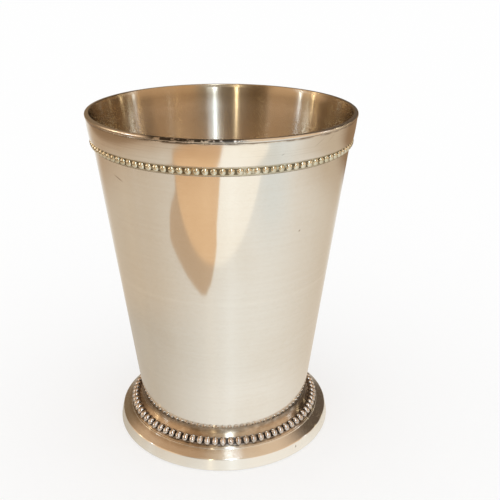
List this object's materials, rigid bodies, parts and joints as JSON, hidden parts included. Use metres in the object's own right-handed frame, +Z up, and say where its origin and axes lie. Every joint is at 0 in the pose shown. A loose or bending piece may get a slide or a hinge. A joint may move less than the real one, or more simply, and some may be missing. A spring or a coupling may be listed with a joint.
{
  "type": "julep cup",
  "caption": "Straight tapered silver-plated beaker with a half-round lip, a plain rim band, beaded mouldings and a stepped hollow foot, for cold drinks or flowers.",
  "frame": {"origin": "centre of the foot, on the plane that it stands on", "axes": "+Z up along the cup's axis, towards the mouth; the cup is a turned shape, so X and Y are any two directions square to it"},
  "size_m": [0.0824, 0.0824, 0.107],
  "materials": {
    "silver_plate": "silver plate on brass, polished, with fine spinning lines and a warm light tarnish",
    "beaded_silver": "silver plate on brass, polished on the beads and darkened by tarnish between them",
    "silver_solder": "silver solder, plated over, dull and slightly grey"
  },
  "bodies": {
    "root": {"cup_wall": "silver_plate", "cup_floor": "silver_plate", "floor_solder_seam": "silver_solder", "rim_band": "silver_plate", "lip_wire": "silver_plate", "rim_bead_wire": "beaded_silver", "rim_solder_seam": "silver_solder", "foot_ring": "silver_plate", "foot_bead_wire": "beaded_silver", "foot_solder_seam": "silver_solder"}
  },
  "joints": []
}
